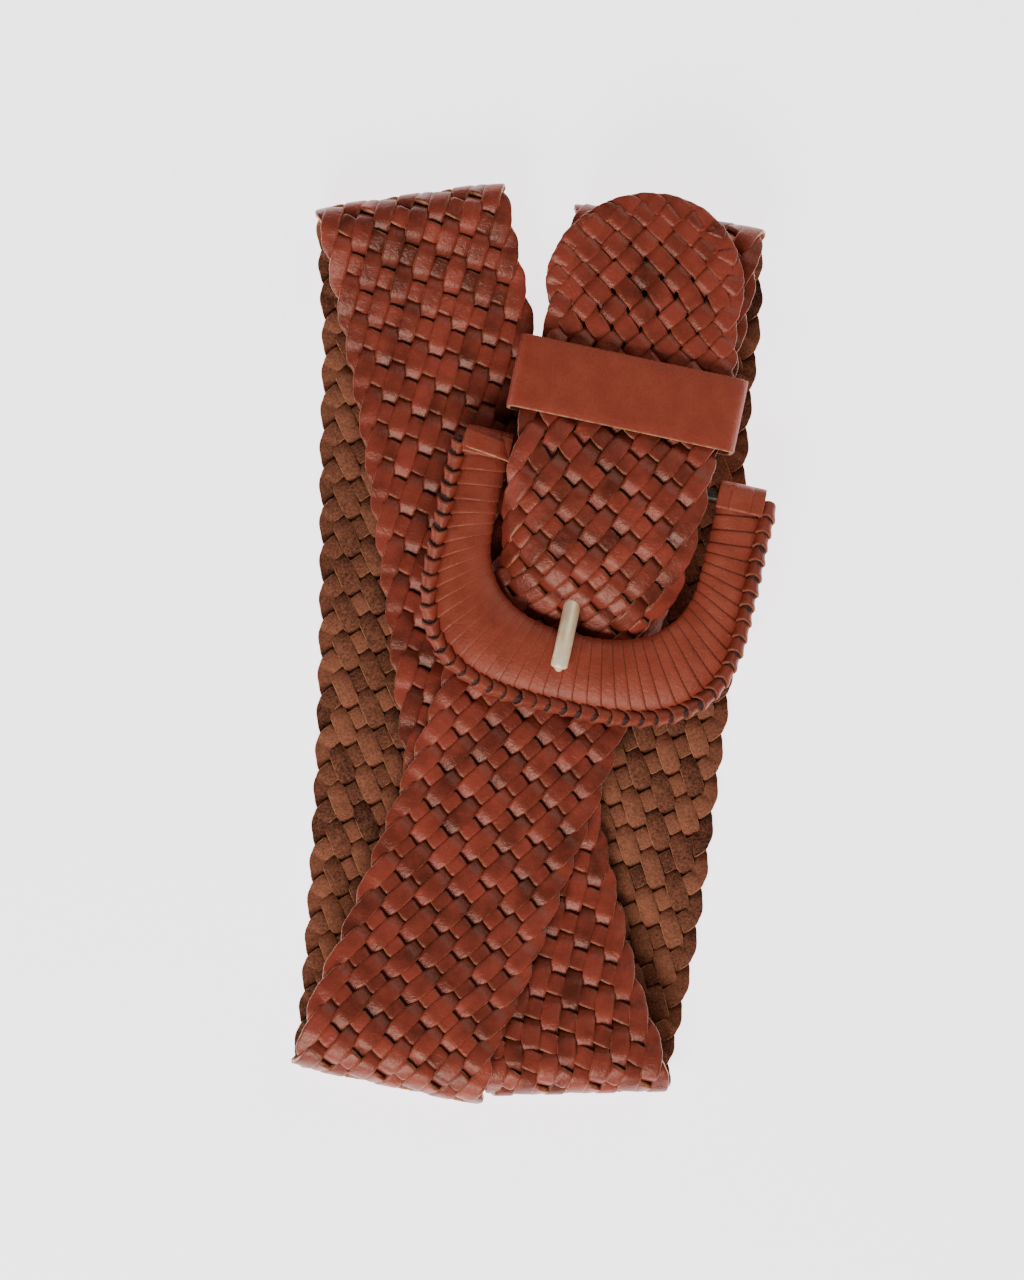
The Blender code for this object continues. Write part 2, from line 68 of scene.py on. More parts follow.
BUCKLE_CENTRE = (24.2, 47.7)
BUCKLE_HEIGHT = 15.4
BUCKLE_TURN = -12.5
LOOP_RADIUS = 4.4
ARM_BACK = -2.8
INNER_OUTLINE = (30.0, 20.0, 46.5, 2.5)
OUTER_OUTLINE = (43.0, 30.0, 66.0, 3.0)
FRAME_HALF_HEIGHT = 3.7
LACE_THICKNESS = 1.2          # room the lacing takes on the frame
PRONG_OFFSET = -3.5
SQUARE_RUN = 17.0             # length of each arm along which the lace crosses squarely
LACE_TURNS = 46
LACE_POINTS = 32              # points of the lace in one turn
LACE_BARE_TURN = 0.3          # the turns start and stop this far from the arms' ends
LACE_STRIP_WIDTH = 5.2
LACE_STRIP_THICKNESS = 0.9
LACE_LEAN = 0.12              # one edge of each turn lies on the turn before
LACE_INNER_SINK = 3.0         # a shell this deep tells which way is out
SHARE_NUDGE = 0.002           # steps that give directions on the band
ANGLE_NUDGE = 0.02

# ---- the hitched outer edge: one short loop of lace for each turn of the lacing --------
EDGE_REACH = 1.6              # its middle line lies this far outside the lacing
EDGE_FIRST = 0.012            # share of the outline left bare at each end
EDGE_LOOP_POINTS = 16
EDGE_LOOP_RADIUS = 1.4
EDGE_OVAL = 0.2
EDGE_LOOP_WIDTH = 4.3
EDGE_LOOP_THICKNESS = 1.1
EDGE_SLANT = 1.3
EDGE_SLANT_SPREAD = 0.3
EDGE_SHINGLE = 0.28           # each loop tips over the one before
EDGE_SHINGLE_SPREAD = 0.1
EDGE_TINTS = (-0.5, 0.1)      # range of the loops' dye tones
EDGE_UNEVEN = 0.08

KEEPER_CENTRE = (27.8, 70.0)
KEEPER_TURN = -12.0
KEEPER_WIDTH = 21.0
KEEPER_HALF_LENGTH = 32.0
KEEPER_THICKNESS = 1.4
KEEPER_BOTTOM = 8.5
KEEPER_TOP_NEAR = 25.6
KEEPER_TOP_FAR = 22.8
KEEPER_CORNER = 3.2
KEEPER_CORNER_STEPS = 8
KEEPER_POINT_STEP = 1.5
KEEPER_SWELL = 0.35           # the top bulges this much over the strap

# ---- laces folded over the arms' ends, and the cut tail rolled across the left one -------
COVERS = ((-4.0, 5.4, 0.0), (4.0, 5.4, 0.0), (0.0, 6.4, 0.5))  # place on the arm, width, lift
COVER_REACH = 6.0             # they start this far in front of the arm's end
COVER_TOP_END = 1.4           # where the top stretch starts to turn down
COVER_TOP_RISE = 0.3
COVER_SET_IN = 0.6            # the turn starts this far in front of the arm's end
COVER_BULGE = 2.2             # and swells this far back
COVER_HEIGHT_SHARE = 0.72
COVER_FLATTENING = 0.3        # keeps the top stretch facing up
COVER_POINTS = 25
COVER_TOP_POINTS = 6
COVER_THICKNESS = 1.0
TAIL_SPAN = (-0.15, 1.1)      # in half turns, from under the arm's outer side to its inner
TAIL_FIRST_ANGLE = 1.02
TAIL_POINTS = 44
TAIL_CLEARANCE = 0.4
TAIL_START = -1.4
TAIL_ADVANCE = 2.6            # how far it moves to the front while crossing the arm
TAIL_RISE = 0.9
TAIL_TILT = 0.25
TAIL_THICKNESS = 1.1

# ---- the prong: in front of the bar, above it, and radius --------------------------------
PRONG_RADIUS = 2.4
PRONG_CORNERS = 24
PRONG_COURSE = [
    (0.6, -3.3, 1.0), (-1.4, -3.0, 1.0), (-2.9, -1.6, 1.0), (-3.3, 0.2, 1.0), (-2.6, 2.0, 1.0),
    (-1.0, 3.15, 1.0), (0.9, 3.1, 1.0), (3.0, 2.2, 1.15), (5.2, 1.3, 1.45), (8.0, 0.6, 1.9),
    (16.0, -0.2, PRONG_RADIUS), (26.0, -0.9, PRONG_RADIUS), (33.0, -0.8, PRONG_RADIUS),
    (37.0, 0.3, PRONG_RADIUS), (41.0, 2.1, PRONG_RADIUS), (45.0, 4.1, PRONG_RADIUS),
    (48.5, 5.6, PRONG_RADIUS), (51.5, 6.25, PRONG_RADIUS), (54.6, 6.4, PRONG_RADIUS),
    (56.2, 6.36, PRONG_RADIUS), (56.7, 6.33, 2.2), (56.95, 6.32, 1.7), (57.0, 6.31, 0.6),
]

# ---- the braid: 14 thongs, each crossing over one and under one -----------------------
THONGS = 14
COLUMNS = 14                  # crossings lie on 13 columns between the two edges
PERIOD = 153.0                # strap length in which a thong crosses and comes back
LONG_SHARE = 0.76             # share of the period spent going to the right
THONG_THICKNESS = 1.6
RUN_WIDTH = 4.95              # thong width on its long way to the right
RETURN_WIDTH = 5.4            # and on its short way back
TIP_RADIUS = 28.4
TIP_ROWS = 7                  # rows of crossings inside the round end
BLEND_ROWS = 12               # rows in which the lean of the braid dies out
TURN_SOFTNESS = 0.62          # how round a thong turns at an edge, in columns
TIP_SIDE_SOFTNESS = 1.8       # and how it swings along the sides of the round end
TIP_END_SOFTNESS = 2.4        # and along the top of its rim
TIP_SIDE_START = 4            # rows before the round end where the softer swing begins
TIP_SIDE_ROWS = 5             # and the rows it takes to come in
SURPLUS_ROWS = 3              # rows in which the stretch of the round end dies out
TIP_SWELL = -0.085            # the thongs keep this share inside the round end's outline
EDGE_ROUND = 0.38             # rounding of a strip's long edges
SUNK_SHIFT = 0.06             # how much less painted shade falls at a crossing's foot
ROW_LIMIT = 400               # more rows than the strap has
ROW_SAMPLE = 0.25             # rows between two samples of the row table
COURSE_STEP = 0.11            # rows between two points of a thong
DIVE_START = 0.25             # a thong climbs or dives in the middle half between crossings
DIVE_SHARE = 0.5
TURN_HEIGHT = 0.05            # height of a thong where it turns at an edge
TURN_COLUMNS = 1.2            # columns in which its width changes at the turn
START_MARGIN = 2.0            # the thongs start this far behind the sewn end
SPARE_ROWS = 5
CUT_OFF = 1.0                 # and are cut off this far in front of it
PARTING = 20.0                # the tip's thongs part from the strap's this far before the tip section starts
BEND_BEFORE = 2.0             # hinge points are taken this far before the tip section's start, and BEND_AFTER after it
BEND_AFTER = 8.0
PINCH = 0.90                  # a thong is squeezed where it dives and spreads on top
BULGE = 0.17
FULL_HEIGHT = 0.5             # height at which it has spread fully, in thicknesses
# heights over the strap's middle, in thicknesses, at odd (1) and even (0) columns
HEIGHTS = {("run", 1): 0.55, ("run", 0): -0.65, ("back", 1): -0.45, ("back", 0): 0.35}


def fold(extreme, fold_angle, radius, low, drift, rising, outward, half_width=HALF_WIDTH):
    """Stations round half a cylinder lying on its side."""
    crease = Vector((math.cos(math.radians(fold_angle)), math.sin(math.radians(fold_angle))))
    out = Vector((-crease.y, crease.x)) * outward
    stations = []
    for step in range(FOLD_STEPS + 1):
        phase = math.radians(180 * step / FOLD_STEPS - 90)
        if not rising:
            phase = -phase
        along = drift * (step / FOLD_STEPS - 0.5)
        plan = Vector(extreme) + out * radius * (math.cos(phase) - 1) + crease * along
        height = low + radius * (1 + math.sin(phase))
        stations.append((plan.x, plan.y, height, fold_angle, half_width, 0, 0))
    return stations


def run(*points, half_width=HALF_WIDTH):
    """Stations of a run given as (x, y, height, ruling angle)."""
    return [(x, y, z, angle, half_width, 0, 0) for x, y, z, angle in points]


BAR_FRONT = (BUCKLE_CENTRE[0] + LOOP_RADIUS * math.sin(math.radians(BUCKLE_TURN)),
             BUCKLE_CENTRE[1] - LOOP_RADIUS * math.cos(math.radians(BUCKLE_TURN)))

# Columns: x, y, height, ruling angle, half width, curl of the left and the right edge.
SECTIONS = [
    ("strap_turnback", run(
        (34.4, 93.5, 11.2, -12), (32.2, 84.0, 11.2, -12), (30.0, 73.5, 11.2, -12),
        (27.8, 64.0, 11.1, -12.3), (26.3, 57.5, 11.0, -12.5), half_width=BAR_HALF_WIDTH)),
    ("strap_bar_loop", run((25.5, 54.0, 11.0, -12.5), half_width=BAR_HALF_WIDTH) + fold(
        BAR_FRONT, BUCKLE_TURN, LOOP_RADIUS, BUCKLE_HEIGHT - LOOP_RADIUS, 0.0, True, -1,
        half_width=BAR_HALF_WIDTH) + run((25.4, 53.5, 19.1, -12.5), half_width=BAR_HALF_WIDTH)),
    ("strap_buckle_run", run(
        (26.3, 57.5, 18.2, -12.5), (27.7, 63.5, 17.0, -12.3), (29.6, 71.5, 15.9, -12),
        (32.0, 81.2, 15.4, -12), (34.4, 91.7, 15.3, -11.5), (36.8, 102.5, 15.8, -10))),
    ("strap_fold_top_right", fold((40.3, 120.1), -8.0, 7.6, FLOOR, 1.6, False, 1)),
    ("strap_right_run", run(
        (39.9, 100.0, FLOOR, -6), (39.0, 88.0, FLOOR, -5), (36.6, 67.1, FLOOR, -4.5),
        (35.1, 47.1, FLOOR, -4), (32.2, 0.7, FLOOR, -4.5), (27.9, -34.1, FLOOR, -6.5),
        (21.6, -80.5, FLOOR, -7.5)) + run((17.6, -106.5, FLOOR, -6), half_width=RIGHT_FOLD_HALF_WIDTH)),
    ("strap_fold_bottom_right", fold((14.2, -126.8), 1.5, 7.3, FLOOR, -2.0, True, -1,
                                     half_width=RIGHT_FOLD_HALF_WIDTH)),
    ("strap_middle_run", run(
        (9.2, -112.0, 15.2, 6), (5.2, -102.0, 12.0, 10), (-0.4, -79.0, 6.6, 12))),
    ("strap_middle_upper", run(
        (-5.8, -54.4, LEG_LOW, 10.5), (-9.1, -28.3, LEG_LOW, 8.5), (-13.9, 12.3, LEG_LOW, 8),
        (-19.7, 55.8, LEG_LOW, 8.5), (-24.9, 86.0, LEG_LOW, 10),
        (-27.0, 96.0, LEG_LOW + 1.8, 10.5), (-29.4, 107.0, 11.2, 9.5))),
    ("strap_fold_top_left", fold((-33.6, 126.0), 8.0, 7.0, FLOOR, -1.6, False, 1)),
    ("strap_left_run", run(
        (-32.6, 104.0, FLOOR, 4), (-31.8, 88.0, FLOOR, 2), (-32.5, 52.9, FLOOR, 0),
        (-32.6, 12.3, FLOOR, -0.5), (-33.7, -31.2, FLOOR, -2), (-36.0, -74.7, FLOOR, -4),
        (-38.0, -102.0, FLOOR, -7))),
    ("strap_fold_bottom_left", fold((-40.2, -124.3), -12.0, 9.3, FLOOR, 2.0, True, -1,
                                    half_width=LEFT_FOLD_HALF_WIDTH)),
    ("strap_front_run", run(
        (-36.6, -111.5, 20.3, -13), (-33.4, -103.0, 19.2, -16), (-27.3, -90.5, 16.6, -19),
        (-20.2, -73.0, 13.0, -20.5), (-12.8, -54.4, LEG_HIGH + 0.8, -21),
        (-5.5, -36.0, LEG_HIGH, -21), (1.7, -16.7, LEG_HIGH, -21))),
    ("strap_window", [
        (5.4, -7.0, LEG_HIGH, -21, 28.0, 0, 0), (8.6, 1.0, 9.9, -21, 28.2, 0, 14),
        (10.4, 5.5, 11.3, -20.8, 27.6, 14, 38), (12.4, 9.5, 14.6, -20.3, 27.3, 42, 50),
        (14.3, 13.5, 18.0, -19.5, 27.0, 62, 52), (16.1, 19.5, 20.6, -17.5, 27.8, 64, 40),
        (17.6, 26.0, 21.8, -15.5, 28.6, 56, 22), (19.4, 33.0, 22.8, -13.5, 28.6, 36, 6),
        (21.2, 40.5, 23.6, -12, 28.8, 10, 0)]),
    ("strap_through_keeper", [
        (22.7, 47.0, 24.0, -11.5, 28.8, 0, 0), (24.0, 53.0, 23.5, -12, 28.8, 0, 0),
        (25.6, 60.0, 22.0, -12, 28.8, 0, 0), (27.2, 67.0, 20.5, -12, 28.7, 0, 0),
        (28.9, 74.5, 19.5, -12, 28.6, 0, 0), (30.6, 82.5, 19.25, -11, 28.5, 0, 0)]),
    ("strap_tip", [
        (31.9, 90.5, 19.4, -8, 28.4, 0, 0), (32.6, 98.0, 20.0, -4.5, 28.4, 0, 0),
        (32.9, 107.0, 21.0, -1, 28.4, 0, 0), (32.7, 117.0, 21.3, 2, 28.4, 0, 0),
        (32.1, 127.0, 21.0, 4, 28.4, 0, 0)]),
]


def catmull_rom(stations):
    """A smooth chain of points through the stations."""
    knots = np.array(stations, float)
    knots = np.vstack([2 * knots[0] - knots[1], knots, 2 * knots[-1] - knots[-2]])
    chain = []
    for i in range(1, len(knots) - 2):
        before, start, end, after = knots[i - 1:i + 3]
        lengths = [max(np.linalg.norm(b[:3] - a[:3]), 1e-6) ** 0.5
                   for a, b in ((before, start), (start, end), (end, after))]
        for t in np.linspace(0, 1, CHAIN_STEPS, endpoint=False):
            tangent_in = ((start - before) / lengths[0] - (end - before) / (lengths[0] + lengths[1])
                          + (end - start) / lengths[1]) * lengths[1]
            tangent_out = ((end - start) / lengths[1] - (after - start) / (lengths[1] + lengths[2])
                           + (after - end) / lengths[2]) * lengths[1]
            chain.append((2 * t**3 - 3 * t**2 + 1) * start + (t**3 - 2 * t**2 + t) * tangent_in
                         + (3 * t**2 - 2 * t**3) * end + (t**3 - t**2) * tangent_out)
    chain.append(knots[-2])
    return np.array(chain)


def distances(points):
    """Distance along a chain of points."""
    steps = np.linalg.norm(np.diff(points[:, :3], axis=0), axis=1)
    return np.concatenate([[0], np.cumsum(steps)])


def unit(vectors):
    """The vectors, each made one long."""
    return vectors / np.linalg.norm(vectors, axis=-1, keepdims=True)


def smoothstep(t):
    """A soft step from 0 to 1 while t goes from 0 to 1."""
    t = np.clip(t, 0, 1)
    return t * t * (3 - 2 * t)


class Strap:
    """The middle surface of the whole strap, for arrays of places on it."""

    def __init__(self):
        stations = [station for _, section in SECTIONS for station in section]
        chain = catmull_rom(stations)
        along = distances(chain)
        even = np.arange(0, along[-1], STATION_STEP)
        chain = np.column_stack([np.interp(even, along, column) for column in chain.T])
        for _ in range(RELAX_PASSES):
            chain[1:-1] = (chain[:-2] + 2 * chain[1:-1] + chain[2:]) / 4
        chain[:, 2] = np.maximum(chain[:, 2], FLOOR)
        self.starts = {}
        self.along = distances(chain)
        searched = 0
        for name, section in SECTIONS:
            gaps = np.linalg.norm(chain[searched:, :3] - np.array(section[0][:3]), axis=1)
            searched += int(np.argmin(gaps))
            self.starts[name] = self.along[searched]
        chain[:, 0] += SHIFT_X
        self.length = self.along[-1]
        angle = np.radians(chain[:, 3])
        self.centre = chain[:, :3]
        self.ruling = np.column_stack([np.cos(angle), np.sin(angle), np.zeros(len(angle))])
        self.normal = unit(np.cross(self.ruling, np.gradient(self.centre, axis=0)))
        self.half_width = chain[:, 4]
        self.curl = np.radians(chain[:, 5:7])

    def read(self, table, s):
        """A table's values at distances s along the strap."""
        if table.ndim == 1:
            return np.interp(s, self.along, table)
        return np.column_stack([np.interp(s, self.along, column) for column in table.T])

    def place(self, s, across):
        """Points and normals at distances s and at shares of the half width across."""
        centre = self.read(self.centre, s)
        ruling = self.read(self.ruling, s)
        normal = unit(self.read(self.normal, s))
        half_width = self.read(self.half_width, s)
        curls = self.read(self.curl, s)
        curl = np.maximum(np.where(across < 0, curls[:, 0], curls[:, 1]), 1e-4)
        side = np.where(across < 0, -1.0, 1.0)
        reach = np.abs(across) * half_width
        bend = np.maximum(reach - (half_width - CURL_ZONE), 0)
        rate = curl / CURL_ZONE
        level = reach - bend + np.sin(rate * bend) / rate
        drop = (1 - np.cos(rate * bend)) / rate
        turn = rate * bend
        points = centre + ruling * (side * level)[:, None] - normal * drop[:, None]
        normals = (normal * np.cos(turn)[:, None]
                   + ruling * (side * np.sin(turn))[:, None])
        return points, normals


# ---- how a thong runs -----------------------------------------------------------------

def braid_rows(strap):
    """Rows of crossings counted back from the tip: their distance along and their lean."""
    row_step = PERIOD / (2 * COLUMNS)
    lean = (LONG_SHARE - 0.5) * PERIOD / COLUMNS
    tip_step = TIP_RADIUS / TIP_ROWS
    back = np.arange(0, ROW_LIMIT, ROW_SAMPLE)
    mix = smoothstep((back - TIP_ROWS) / BLEND_ROWS)
    step = tip_step + (row_step - tip_step) * mix
    past = np.concatenate([[0], np.cumsum((step[1:] + step[:-1]) / 2 * ROW_SAMPLE)])
    past -= np.interp(TIP_ROWS, back, past)
    return back, strap.length - TIP_RADIUS - past, lean * mix


def thong_course(strap, rows, first_phase, last_row):
    """Distance along, share across, height and width of one thong from the sewn end up."""
    back, along, leans = rows
    t = np.arange(0, last_row + 1e-6, COURSE_STEP)
    t[-1] = last_row
    phase = (t + first_phase) % (2 * COLUMNS)
    going_right = phase < COLUMNS
    triangle = np.where(going_right, phase, 2 * COLUMNS - phase)
    near_tip = smoothstep((TIP_ROWS + TIP_SIDE_START - (last_row - t)) / TIP_SIDE_ROWS)
    softness = TURN_SOFTNESS + (TIP_SIDE_SOFTNESS - TURN_SOFTNESS) * near_tip
    half = COLUMNS / 2
    from_edge = np.minimum(triangle, COLUMNS - triangle)
    eased = half * ((np.hypot(from_edge, softness) - softness * near_tip)
                    / (np.hypot(half, softness) - softness * near_tip))
    column = np.where(triangle < half, eased, COLUMNS - eased)
    rows_left = last_row - t
    full = np.hypot(TIP_ROWS, TIP_END_SOFTNESS)
    stretch = TIP_ROWS / (full - TIP_END_SOFTNESS)
    surplus = stretch * TIP_ROWS / full - 1
    behind = np.maximum(rows_left - TIP_ROWS, 0)
    from_tip = np.where(rows_left < TIP_ROWS,
                        stretch * (np.hypot(rows_left, TIP_END_SOFTNESS) - TIP_END_SOFTNESS),
                        rows_left + surplus * SURPLUS_ROWS * (1 - np.exp(-behind / SURPLUS_ROWS)))
    across = column / (COLUMNS / 2) - 1
    inward = np.clip(1 - from_tip / TIP_ROWS, 0, 1)
    s = np.interp(from_tip, back, along) + np.interp(from_tip, back, leans) * (column - COLUMNS / 2)
    reach = TIP_RADIUS * (1 + TIP_SWELL * smoothstep(inward * 3))
    round_s = strap.length - TIP_RADIUS + reach * inward * np.sqrt(1 - across**2 / 2)
    round_across = across * np.sqrt(1 - inward**2 / 2) * (1 + TIP_SWELL * near_tip)
    s = np.where(inward > 0, round_s, s)
    across = np.where(inward > 0, round_across, across * (1 + TIP_SWELL * near_tip))

    whole = np.floor(t)
    share = t - whole

    def crossing_height(number):
        """Height of the thong at its crossing of that number, in thicknesses."""
        place = (number + first_phase) % (2 * COLUMNS)
        right = place < COLUMNS
        at = np.where(right, place, 2 * COLUMNS - place).astype(int)
        odd = at % 2
        level = np.where(right, np.where(odd, HEIGHTS["run", 1], HEIGHTS["run", 0]),
                         np.where(odd, HEIGHTS["back", 1], HEIGHTS["back", 0]))
        turning = (at == 0) | (at == COLUMNS) | (number >= last_row)
        return np.where(turning, TURN_HEIGHT, level)

    low = crossing_height(whole)
    high = crossing_height(whole + 1)
    height = low + (high - low) * smoothstep((share - DIVE_START) / DIVE_SHARE)
    mix = smoothstep(from_edge / TURN_COLUMNS) * np.where(going_right, 1, -1) * 0.5 + 0.5
    tip_mix = smoothstep((TIP_ROWS + BLEND_ROWS / 2 - from_tip) / BLEND_ROWS)
    width = RETURN_WIDTH + (RUN_WIDTH - RETURN_WIDTH) * mix * (1 - tip_mix)
    width = width * (PINCH + BULGE * smoothstep(np.abs(height) / FULL_HEIGHT))
    return s, across, height * THONG_THICKNESS, width


# Round a strip from its upper left edge: share of the half width, rounding drawn in (+) or
# out (-), share of the half thickness, grain (1) or flesh (0) side, how much is cut edge.
STRIP_SECTION = [
    (-1, 1, 0.97, 1, 0), (-0.62, 0, 1.02, 1, 0), (0, 0, 1.05, 1, 0), (0.62, 0, 1.02, 1, 0),
    (1, -1, 0.97, 1, 0), (1, -0.2, 0.74, 0.9, 0.7), (1, 0, 0.3, 0.8, 1), (1, 0, -0.6, 0.2, 1),
    (1, -0.7, -0.97, 0, 0.4), (0, 0, -1.0, 0, 0), (-1, 0.7, -0.97, 0, 0.4),
    (-1, 0, -0.6, 0.2, 1), (-1, 0, 0.3, 0.8, 1), (-1, 0.2, 0.74, 0.9, 0.7),
]
GRAIN_COLUMN = 3
CUT_COLUMN = 4


def sweep_mesh(name, points, side, up, widths, thickness, tint, closed=False, depth=None):
    """A leather strip with a grain face, a flesh face and two cut edges."""
    half = widths / 2
    thick = thickness / 2
    rings = []
    for reach, inset, rise, _, _ in STRIP_SECTION:
        offset = half * reach + inset * EDGE_ROUND
        rings.append(points + side * offset[:, None] + up * (thick * rise))
    vertices = np.stack(rings, axis=1)
    count, corners = vertices.shape[:2]
    index = np.arange(count * corners).reshape(count, corners)
    lower = index if closed else index[:-1]
    upper = np.roll(index, -1, axis=0) if closed else index[1:]
    faces = np.stack([lower, upper, np.roll(upper, -1, axis=1), np.roll(lower, -1, axis=1)],
                     axis=2).reshape(-1, 4).tolist()
    if not closed:
        faces.append(index[0].tolist())
        faces.append(index[-1][::-1].tolist())
    mesh = bpy.data.meshes.new(name)
    mesh.from_pydata((vertices.reshape(-1, 3) * MM).tolist(), [], faces)
    mesh.polygons.foreach_set("use_smooth", [True] * len(mesh.polygons))
    for attribute, column in (("grain", GRAIN_COLUMN), ("cut", CUT_COLUMN)):
        values = np.tile([entry[column] for entry in STRIP_SECTION], count).astype(float)
        mesh.attributes.new(attribute, "FLOAT", "POINT").data.foreach_set("value", values)
    mesh.attributes.new("tint", "FLOAT", "POINT").data.foreach_set(
        "value", np.full(count * corners, tint))
    # the strip's heights, signed by face, kept for the painted shade where one thong dives under the
    # next
    raised = np.ones(count) if depth is None else depth
    faced = np.array([1.0 if entry[GRAIN_COLUMN] > 0.5 else -1.0 for entry in STRIP_SECTION])
    shade_height = raised[:, None] * (faced if depth is not None else 1.0)
    mesh.attributes.new("shade_height", "FLOAT", "POINT").data.foreach_set(
        "value", (shade_height * np.ones((count, corners))).ravel())
    made = bpy.data.objects.new(name, mesh)
    bpy.context.scene.collection.objects.link(made)
    return made


def strip_frames(points, normals):
    """Side and up vectors of a strip that runs through points over a surface."""
    travel = unit(np.gradient(points, axis=0))
    side = unit(np.cross(travel, normals))
    return side, unit(np.cross(side, travel))


def build_thongs(strap, leather):
    """The thongs: 14 along the strap, and 7 doubled round the tip, parted under the keeper."""
    rows = braid_rows(strap)
    last_row = int(np.interp(-START_MARGIN, -rows[1], rows[0]) // 2 * 2 + SPARE_ROWS)
    random = np.random.default_rng(7)
    hinge_s = strap.starts["strap_tip"]
    split_s = hinge_s - PARTING
    body, ends = [], []
    for number in range(THONGS):
        s, across, height, width = thong_course(strap, rows, 2 * number, last_row)
        places, normals = strap.place(np.clip(s, 0, strap.length), across)
        course = np.column_stack([places + normals * height[:, None], normals, width, height])
        course = course[s > CUT_OFF]
        s = s[s > CUT_OFF]
        split = int(np.argmax(s > split_s))
        body.append(strip_piece(f"thong_{number + 1:02d}", course[:split + 1],
                                random.uniform(0, 1), leather))
        ends.append(course[split:])
    tip = []
    for number in range(THONGS):
        partner = (-last_row - number) % THONGS
        if partner > number:
            course = np.vstack([ends[number][:-1], ends[partner][::-1]])
            tip.append(strip_piece(f"tip_thong_{len(tip) + 1}", course,
                                   random.uniform(0, 1), leather))
    for made in body:
        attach(made, "strap")
    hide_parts(*[name for name, _ in SECTIONS if name != "strap_tip"])
    hinge = strap.place(np.array([hinge_s - BEND_BEFORE, hinge_s + BEND_AFTER]), np.zeros(2))[0] * MM
    for made in tip:
        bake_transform(made)
    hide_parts("strap_tip")


def strip_piece(name, course, tint, leather):
    """One thong from a table of points, surface normals and widths."""
    points, normals, width = course[:, :3], course[:, 3:6], course[:, 6]
    side, up = strip_frames(points, normals)
    # the thong's heights, for the painted shade where it dives under the next
    depth = course[:, 7] / THONG_THICKNESS + SUNK_SHIFT
    made = sweep_mesh(name, points, side, up, width, THONG_THICKNESS, tint, depth=depth)
    made.data.materials.append(leather)
    return made


# ---- the buckle -------------------------------------------------------------------------

def outline_lengths(outline):
    """Half of a D outline, from the right arm's end to the front, and its running length."""
    half_width, straight, depth, roundness = outline
    angle = np.linspace(0, math.pi / 2, 91)
    u = half_width * np.clip(np.cos(angle), 0, 1) ** (2 / roundness)
    v = straight + (depth - straight) * np.sin(angle) ** (2 / roundness)
    u = np.concatenate([[half_width], u])
    v = np.concatenate([[ARM_BACK], v])
    u[-1] = 0
    return u, v, np.concatenate([[0], np.cumsum(np.hypot(np.diff(u), np.diff(v)))])


def outline_points(outline, shares):
    """Points on a D outline where the lace lies, share 0 at the left arm's end, 1 at the right's.

    Along the arms the lace crosses squarely; round the corners it fans out.
    """
    u, v, lengths = outline_lengths(outline)
    outer_total = outline_lengths(OUTER_OUTLINE)[2][-1]
    mirrored = shares > 0.5
    wanted = 2 * np.where(mirrored, 1 - shares, shares) * outer_total
    past = np.maximum(wanted - SQUARE_RUN, 0) / (outer_total - SQUARE_RUN)
    wanted = np.minimum(wanted, SQUARE_RUN) + past * (lengths[-1] - SQUARE_RUN)
    reach = np.interp(wanted, lengths, u)
    front = np.interp(wanted, lengths, v) + np.minimum(wanted, 0)
    return np.column_stack([np.where(mirrored, reach, -reach), front])


def buckle_to_world(places):
    """From the buckle's own frame (u along the bar, v to the front, w up) to the world."""
    turn = math.radians(BUCKLE_TURN)
    u = np.array([math.cos(turn), math.sin(turn), 0])
    v = np.array([math.sin(turn), -math.cos(turn), 0])
    centre = np.array([BUCKLE_CENTRE[0] + SHIFT_X, BUCKLE_CENTRE[1], BUCKLE_HEIGHT])
    return centre + places[:, :1] * u + places[:, 1:2] * v + places[:, 2:] * np.array([0, 0, 1])


def band_surface(shares, angles, sink):
    """Points on the oval band at shares round the D and angles round its section."""
    inner = outline_points(INNER_OUTLINE, shares)
    outer = outline_points(OUTER_OUTLINE, shares)
    middle = (inner + outer) / 2
    across = (outer - inner) / 2
    length = np.linalg.norm(across, axis=1)
    plan = middle + across * ((1 - sink / length) * np.cos(angles))[:, None]
    rise = (FRAME_HALF_HEIGHT - sink) * np.sin(angles)
    return np.column_stack([plan, rise])


def build_lacing(wraps, leather):
    """One lace wound round the frame, each turn lying a little over the last."""
    turns = np.linspace(LACE_BARE_TURN, wraps - LACE_BARE_TURN, wraps * LACE_POINTS)
    angles = -2 * math.pi * turns
    shares = turns / wraps
    sink = np.full(len(turns), LACE_THICKNESS * 0.5)
    points = band_surface(shares, angles, sink)
    travel = (band_surface(shares + SHARE_NUDGE, angles, sink)
              - band_surface(shares - SHARE_NUDGE, angles, sink))
    around = (band_surface(shares, angles + ANGLE_NUDGE, sink)
              - band_surface(shares, angles - ANGLE_NUDGE, sink))
    out = unit(np.cross(around, travel))
    middle = band_surface(shares, angles, np.full(len(turns), LACE_INNER_SINK))
    out *= np.sign(np.sum(out * (points - middle), axis=1, keepdims=True))
    side = unit(travel - out * np.sum(travel * out, axis=1, keepdims=True))
    up = unit(out - side * LACE_LEAN)
    side = unit(side + out * LACE_LEAN)
    lace = buckle_strip("wrapped_lace", points, side, up, np.full(len(turns), LACE_STRIP_WIDTH),
                        LACE_STRIP_THICKNESS, 0.35, leather)
    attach(lace, "buckle")
    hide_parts("buckle_lacing")


def buckle_strip(name, points, side, up, widths, thickness, tint, leather, closed=False):
    """A strip given in the buckle's own frame."""
    world = buckle_to_world(points)
    origin = buckle_to_world(np.zeros((1, 3)))
    side = buckle_to_world(side) - origin
    up = buckle_to_world(up) - origin
    ahead = np.roll(world, -1, axis=0) - np.roll(world, 1, axis=0)
    flip = np.sum(np.cross(side, ahead) * up, axis=1)
    if np.median(flip) < 0:
        side = -side
    made = sweep_mesh(name, world, side, up, widths, thickness, tint, closed)
    made.data.materials.append(leather)
    return made


